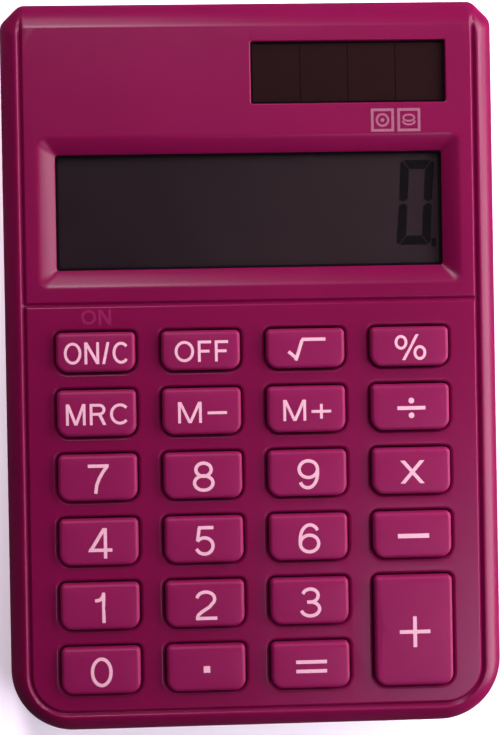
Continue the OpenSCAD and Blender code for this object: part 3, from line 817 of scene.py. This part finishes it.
def zero(x, y):
    """The six lit bars of a leaning seven-bar digit: x, y is its lower left corner."""
    w, h, t, gap, half = DIGIT_W, DIGIT_H, BAR_W, BAR_GAP, DIGIT_H / 2
    bars = [[(0.5, h), (w - 0.5, h), (w - t - gap, h - t), (t + gap, h - t)],
            [(0.45, 0), (t + gap, t), (w - t - gap, t), (w - 0.45, 0)]]
    lower = [(0, 0.5), (0.35, 0.15), (t, t + gap), (t, half - 0.45 - gap), (t / 2, half - gap),
             (0.12, half - 0.4)]
    upper = [(px, h - py) for px, py in lower]
    for left_bar in (upper, lower):
        bars += [left_bar, [(w - px, py) for px, py in left_bar]]
    return [turn_left([(x + px + DIGIT_LEAN * py, y + py) for px, py in bar]) for bar in bars]


def display():
    """The clear window, a black band of painted shade round its edge, and a zero with its point."""
    under = lens_low.z
    lens = plate("display_lens", inner_box(lens_low, lens_high, 0), under + CLEAR_LOW, lens_high.z, 0.08,
                 lens_plastic)
    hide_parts("display_window")
    # Painted shade: a black band under the window's edge, where the frame's lip throws its shadow.
    shade_band = plate("display_shade_band", inner_box(lens_low, lens_high, SHADE_BAND_IN), under + SHADE_BAND_LOW,
                 under + SHADE_BAND_HIGH, 0.01, painted_shade_ink,
                 hole=inner_box(lens_low, lens_high, LENS_LAP + SHADE_BAND_SHOWS))
    right, bottom = lens_high.x - LENS_LAP, lens_low.y + LENS_LAP
    lit = zero(right + DIGIT_AT[0], bottom + DIGIT_AT[1])
    x, y = right + POINT_AT[0], bottom + POINT_AT[1]
    lit.append([(x, y), (x + 0.65, y), (x + 0.75, y + 1.3), (x + 0.1, y + 1.3)])
    digit = print_piece("display_digit", lit, level(under + LIT_LAYER), 0.03, segment_black, "case")


def solar():
    """The solar cell: a dark plate with four strips on it."""
    back = plate("solar_plate", inner_box(cell_low, cell_high, 0), cell_low.z, cell_high.z - 0.02, 0.06,
                 solar_back)
    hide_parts("solar_cell")
    count, gap, margin = 4, 0.14, 0.35
    (x0, y0), (x1, y1) = inner_box(cell_low, cell_high, CELL_LAP)
    low, high = y0 + margin, y1 - margin
    width = (x1 - x0 - 2 * margin - gap * (count - 1)) / count
    lefts = [x0 + margin + i * (width + gap) for i in range(count)]
    strips = [[(left, low), (left + width, low), (left + width, high), (left, high)] for left in lefts]
    cells = print_piece("solar_strips", strips, level(cell_high.z - 0.015), 0.02, solar_strip, "case")


display()
solar()


# ---------- glyphs ----------

# Each glyph's centre lines, in a box 1 high. A bar has square ends half a stroke past its points, a slash
# is cut level at both ends, a curve ends square at its points, a ring is closed and a disc is filled.
PRINTED_W = 0.52            # width of a printed digit
SIX = [("ring", 0.26, 0.31, 0.26, 0.31),
       ("curve", arc(0.275, 0.72, 0.22, 0.28, 15, 90, 6)
        + arc(0.275, 0.46, 0.275, 0.54, 90, 180, 10)[1:] + [(0, 0.31)])]
GLYPHS = {
    "0": [("ring", 0.26, 0.5, 0.26, 0.5)],
    "1": [("bar", 0.26, 0, 0.26, 1), ("curve", [(-0.04, 0.765), (0.08, 0.775), (0.17, 0.82), (0.25, 0.95)])],
    "2": [("curve", arc(0.26, 0.735, 0.25, 0.265, 172, -30, 14)
           + [(0.36, 0.43), (0.17, 0.27), (0.05, 0.14), (0.01, 0)]),
          ("bar", 0.02, 0, 0.53, 0)],
    "3": [("curve", arc(0.26, 0.757, 0.22, 0.243, 165, -90, 14)),
          ("curve", arc(0.255, 0.26, 0.26, 0.26, 90, -168, 16)),
          ("bar", 0.21, 0.517, 0.26, 0.517)],
    "4": [("bar", 0.42, 0, 0.42, 1), ("bar", 0.02, 0.25, 0.56, 0.25), ("slash", 0.0, 0.25, 0.4, 1)],
    "5": [("bar", 0.11, 1, 0.48, 1), ("curve", [(0.1, 1.0), (0.04, 0.49)]),
          ("curve", arc(0.25, 0.31, 0.26, 0.31, 145, -160, 16))],
    "6": SIX,
    "7": [("bar", 0, 1, 0.53, 1),
          ("curve", [(0.54, 0.99), (0.42, 0.8), (0.29, 0.52), (0.21, 0.26), (0.175, -0.07)])],
    "8": [("ring", 0.26, 0.757, 0.215, 0.243), ("ring", 0.26, 0.265, 0.26, 0.265)],
    "9": SIX,
    "O": [("ring", 0.41, 0.5, 0.41, 0.5)],
    "N": [("bar", 0, 0, 0, 1), ("bar", 0.66, 0, 0.66, 1), ("slash", 0.66, 0, 0.0, 1)],
    "/": [("slash", 0, 0, 0.26, 1)],
    "C": [("curve", arc(0.4, 0.5, 0.4, 0.5, 42, 318, 20))],
    "F": [("bar", 0, 0, 0, 1), ("bar", 0, 1, 0.52, 1), ("bar", 0, 0.5, 0.44, 0.5)],
    "M": [("bar", 0, 0, 0, 1), ("bar", 0.78, 0, 0.78, 1), ("slash", 0.39, 0, 0.02, 1),
          ("slash", 0.39, 0, 0.76, 1)],
    "R": [("bar", 0, 0, 0, 1), ("curve", [(0, 1)] + arc(0.38, 0.755, 0.22, 0.245, 90, -90, 10) + [(0, 0.51)]),
          ("slash", 0.62, 0, 0.36, 0.5)],
    "-": [("bar", 0, 0.46, 0.62, 0.46)],
    "+": [("bar", 0, 0.42, 0.66, 0.42), ("bar", 0.33, 0.09, 0.33, 0.75)],
    "root": [("curve", [(0.0, 0.4), (0.24, 0.02)]), ("curve", [(0.2, -0.06), (0.39, 0.98)]),
             ("bar", 0.42, 1, 1, 1)],
    "percent": [("ring", 0.2, 0.72, 0.16, 0.26), ("ring", 0.8, 0.26, 0.16, 0.26),
                ("slash", 0.28, 0, 0.72, 1)],
    "divide": [("bar", 0, 0.5, 1, 0.5), ("disc", 0.5, 1.0), ("disc", 0.5, 0)],
    "times": [("slash", 0, 0, 1, 1), ("slash", 1, 0, 0, 1)],
    "minus": [("bar", 0, 0.5, 1, 0.5)],
    "plus": [("bar", 0, 0.5, 1, 0.5), ("bar", 0.5, 0, 0.5, 1)],
    "equals": [("bar", 0, 0, 1, 0), ("bar", 0, 1, 1, 1)],
    "point": [("bar", 0.5, 0.5, 0.5, 0.5)],
}
# Widths of the boxes; the signs, which have longer names, are in boxes 1 wide
GLYPH_W = {**dict.fromkeys("023456789", PRINTED_W), "1": 0.3, "O": 0.82, "N": 0.66, "/": 0.26, "C": 0.72,
           "F": 0.52, "M": 0.78, "R": 0.62, "-": 0.62, "+": 0.66}
LETTER_GAP = 0.32
DISC_R = 0.78               # in strokes


def glyph(name, stroke, place):
    """The polygons of one glyph; place maps its box to millimetres. A nine is a six upside down."""
    polygons = []

    def at(x, y):
        return place(PRINTED_W - x, 1 - y) if name == "9" else place(x, y)

    for kind, *values in GLYPHS[name]:
        if kind == "bar":
            a, b = Vector(at(*values[:2])), Vector(at(*values[2:]))
            along = (b - a).normalized() if b != a else Vector((1, 0))
            a, b = a - along * stroke / 2, b + along * stroke / 2
            polygons += strip([tuple(a), tuple(b)], stroke)
        elif kind == "slash":
            a, b = Vector(at(*values[:2])), Vector(at(*values[2:]))
            half = stroke / 2 * (b - a).length / abs(b.y - a.y)
            reach = stroke / 2 if b.y > a.y else -stroke / 2
            polygons.append([(a.x - half, a.y - reach), (a.x + half, a.y - reach),
                             (b.x + half, b.y + reach), (b.x - half, b.y + reach)])
        elif kind == "curve":
            polygons += strip([at(x, y) for x, y in values[0]], stroke)
        elif kind == "ring":
            polygons += strip([at(x, y) for x, y in arc(*values, 0, 360, 36)[:-1]], stroke, closed=True)
        elif kind == "disc":
            polygons.append(circle(*at(*values), stroke * DISC_R, 20))
    return [turn_left(p) for p in polygons]


def run_of_glyphs(names, width, height, stroke, cx, cy):
    """A line of glyphs, centred on cx, cy; width and height are over its strokes."""
    widths = [GLYPH_W.get(name, 1.0) for name in names]
    grow = (width - stroke) / (sum(widths) + LETTER_GAP * (len(names) - 1))
    polygons = []
    left = cx - (width - stroke) / 2
    for name, glyph_width in zip(names, widths):

        def place(u, v, left=left):
            return left + u * grow, cy - (height - stroke) / 2 + v * (height - stroke)

        polygons += glyph(name, stroke, place)
        left += (glyph_width + LETTER_GAP) * grow
    return polygons


# ---------- keys ----------

# Key: glyphs, width, height and stroke of the print
LEGENDS = {
    "key_on_clear": (["O", "N", "/", "C"], 9.7, 3.3, 0.42),
    "key_off": (["O", "F", "F"], 8.1, 3.2, 0.42),
    "key_root": (["root"], 5.9, 3.5, 0.5),
    "key_percent": (["percent"], 5.2, 3.9, 0.42),
    "key_memory_recall": (["M", "R", "C"], 9.4, 3.2, 0.42),
    "key_memory_minus": (["M", "-"], 7.4, 3.2, 0.42),
    "key_memory_plus": (["M", "+"], 7.3, 3.2, 0.42),
    "key_divide": (["divide"], 4.3, 2.8, 0.56),
    "key_7": (["7"], 3.1, 4.4, 0.5),
    "key_8": (["8"], 3.3, 4.6, 0.5),
    "key_9": (["9"], 3.3, 4.6, 0.5),
    "key_times": (["times"], 3.5, 3.5, 0.5),
    "key_4": (["4"], 3.4, 4.6, 0.5),
    "key_5": (["5"], 3.1, 4.5, 0.5),
    "key_6": (["6"], 3.3, 4.6, 0.5),
    "key_minus": (["minus"], 4.8, 0.8, 0.68),
    "key_1": (["1"], 1.8, 4.6, 0.5),
    "key_2": (["2"], 3.3, 4.5, 0.5),
    "key_3": (["3"], 3.3, 4.6, 0.5),
    "key_plus": (["plus"], 4.7, 4.7, 0.56),
    "key_0": (["0"], 3.3, 4.5, 0.5),
    "key_point": (["point"], 1.0, 1.0, 1.0),
    "key_equals": (["equals"], 4.7, 1.95, 0.54),
}
LEGEND_OFF = (0.12, -0.12)  # from a key's middle to its print's middle
LEGEND_H = 0.06             # thickness of the print, half of it inside the key


def key_surface(node):
    """Height of a key's crowned top."""
    low, high = box(node)
    cx, cy = middle(node)
    half_w, half_h = (high.x - low.x) / 2 - FLANGE, (high.y - low.y) / 2 - FLANGE

    def height(x, y):
        return high.z - CROWN * (((x - cx) / half_w) ** 2 + ((y - cy) / half_h) ** 2) / 2

    return height


def key_cap(node):
    """A key: its crowned top with a rounded edge, the flange that holds it in, and its post."""
    low, high = box(node)
    (x0, y0), (x1, y1) = inner_box(low, high, FLANGE)
    surface = key_surface(node)
    shell = Shell()

    def outline(inset):
        return rounded((x0 + inset, y0 + inset), (x1 - inset, y1 - inset),
                       max(KEY_R_TOP - inset, LEAST_R), max(KEY_R_BOTTOM - inset, LEAST_R))

    flange_low = FACE_UNDER - FLANGE_H
    flange = shell.ring(outline(-FLANGE), flange_low)
    ring = shell.tower(flange, [(outline(-FLANGE), FACE_UNDER), (outline(0), FACE_UNDER)])
    for drop, inset in quarter_round(KEY_ROUND, 6):
        points = outline(inset)
        ring = shell.bridge(ring, shell.ring(points, [surface(x, y) - drop for x, y in points]))

    step, margin = 1.1, 1.2
    columns = int((x1 - x0 - 2 * margin) / step) + 1
    rows = int((y1 - y0 - 2 * margin) / step) + 1
    grid = [(x0 + margin + step * i, y0 + margin + step * j) for i in range(columns) for j in range(rows)]
    shell.fill(ring, high.z, drop=lambda x, y: high.z - surface(x, y), dots=grid)

    post, post_end = shell.turned(*middle(node), [(POST_R, flange_low), (POST_R, low.z)])
    shell.fill(flange, flange_low, [post])
    shell.fill(post_end, low.z)
    piece = shell.piece(node.replace("key_", "cap_"), key_plastic, node)
    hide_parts(node)


def key_legend(node):
    """A key's print, which lies on its crowned top."""
    cx, cy = middle(node)
    polygons = run_of_glyphs(*LEGENDS[node], cx + LEGEND_OFF[0], cy + LEGEND_OFF[1])
    print_piece(node.replace("key_", "legend_"), polygons, key_surface(node), LEGEND_H, ink, node)


for key_node in KEYS:
    key_cap(key_node)
    key_legend(key_node)


# ---------- prints on the panel ----------

SIGN_SIZE, SIGN_GAP, SIGN_LINE = 3.55, 0.5, 0.42
SIGNS_AT = (-3.95, -0.97)   # upper right corner, from the solar window's lower right corner
ON_AT = (0.15, 2.3)         # middle, from the middle of the first key's upper edge
ON_SIZE = (4.6, 2.3, 0.45)  # width, height and stroke


def panel_print(name, polygons, surface_ink):
    """A thin flat print on the panel."""
    print_piece(name, polygons, level(PANEL + 0.01), 0.04, surface_ink, "case")


def sun(cx, cy):
    """A small disc in a circle."""
    return strip(circle(cx, cy, 0.88, 28), 0.34, closed=True) + [circle(cx, cy, 0.3, 16)]


def flat_cell(cx, cy):
    """An oval lid over the half oval of its can."""
    lid = strip(arc(cx, cy + 0.3, 0.85, 0.48, 0, 360, 28)[:-1], 0.28, closed=True)
    return lid + strip(arc(cx, cy - 0.15, 0.92, 0.6, 180, 360, 14), 0.3)


def signs():
    """Two small boxed signs between the display and the solar window: a sun and a button cell."""
    right, top = cell_high.x - CELL_LAP + SIGNS_AT[0], cell_low.y + CELL_LAP + SIGNS_AT[1]
    reach = (SIGN_SIZE - SIGN_LINE) / 2
    cy = top - SIGN_SIZE / 2
    for name, drawing, cx in (("sign_sun", sun, right - 1.5 * SIGN_SIZE - SIGN_GAP),
                              ("sign_cell", flat_cell, right - SIGN_SIZE / 2)):
        square = [(cx - reach, cy - reach), (cx + reach, cy - reach), (cx + reach, cy + reach),
                  (cx - reach, cy + reach)]
        polygons = strip(square, SIGN_LINE, closed=True) + drawing(cx, cy)
        panel_print(name, [turn_left(p) for p in polygons], sign_ink)


def on_print():
    """The faint ON over the first key."""
    upper_edge = box("key_on_clear")[1].y - FLANGE
    x, y = middle("key_on_clear")[0] + ON_AT[0], upper_edge + ON_AT[1]
    panel_print("print_on", run_of_glyphs(["O", "N"], *ON_SIZE, x, y), faint_ink)


signs()
on_print()


# ---------- studio ----------

def softbox(name, place, size, power, colour):
    """A square lamp at a place in millimetres, facing the origin; its size is in metres."""
    light = bpy.data.lights.new(name, "AREA")
    light.size = size
    light.energy = power
    light.color = colour
    lamp = bpy.data.objects.new(name, light)
    lamp.location = Vector(place) * MM
    lamp.rotation_euler = Vector(place).to_track_quat("Z", "Y").to_euler()
    bpy.context.scene.collection.objects.link(lamp)


def pale_floor():
    """A square floor, which isn't mirrored in the case; its reach is in metres."""
    reach = 6.0
    corners = [(-reach, -reach, 0), (reach, -reach, 0), (reach, reach, 0), (-reach, reach, 0)]
    mesh = bpy.data.meshes.new("floor")
    mesh.from_pydata(corners, [], [(0, 1, 2, 3)])
    mesh.materials.append(plain("paper", "FAFAFA", "FFFFFF", 0.8, 40))
    floor = bpy.data.objects.new("floor", mesh)
    bpy.context.scene.collection.objects.link(floor)
    floor.visible_glossy = False


def lighting():
    """Soft lamps, most of them on the right, and a little light from all sides."""
    world = bpy.data.worlds.new("studio")
    bpy.context.scene.world = world
    world.use_nodes = True
    background = world.node_tree.nodes["Background"]
    background.inputs["Color"].default_value = (0.9, 0.92, 1, 1)
    background.inputs["Strength"].default_value = 0.05

    softbox("side_light", (200, 130, 130), 0.15, 1.1, (1, 0.92, 0.97))
    softbox("low_light", (300, -60, 90), 0.25, 1.2, (1, 0.9, 1))
    softbox("rim_light", (330, -30, 130), 0.45, 2.5, (1, 0.95, 1))
    softbox("far_light", (900, 0, 450), 0.6, 1.2, (0.9, 0.95, 1))
    softbox("top_light", (-50, 190, 240), 0.07, 0.62, (1, 0.88, 1))
    softbox("back_light", (-80, 300, 190), 0.12, 0.5, (1, 0.7, 0.85))
    softbox("sheen_light", (103, -120, 300), 0.07, 0.3, (0.85, 0.65, 1))
    softbox("upper_light", (23, 205, 430), 0.1, 0.2, (0.7, 0.8, 1))

    bpy.context.scene.view_settings.view_transform = "Standard"


def front_camera():
    """A camera above the face; its place is in millimetres and its turn in degrees."""
    data = bpy.data.cameras.new("camera")
    data.sensor_width = 36
    data.lens = 78.99
    data.shift_y = -0.1
    data.clip_start = 0.01
    camera = bpy.data.objects.new("camera", data)
    camera.location = Vector((-11.23, 12.72, 259.07)) * MM
    camera.rotation_euler = Euler([math.radians(a) for a in (-0.381, -2.565, -0.991)])
    bpy.context.scene.collection.objects.link(camera)
    bpy.context.scene.camera = camera


pale_floor()
lighting()
front_camera()
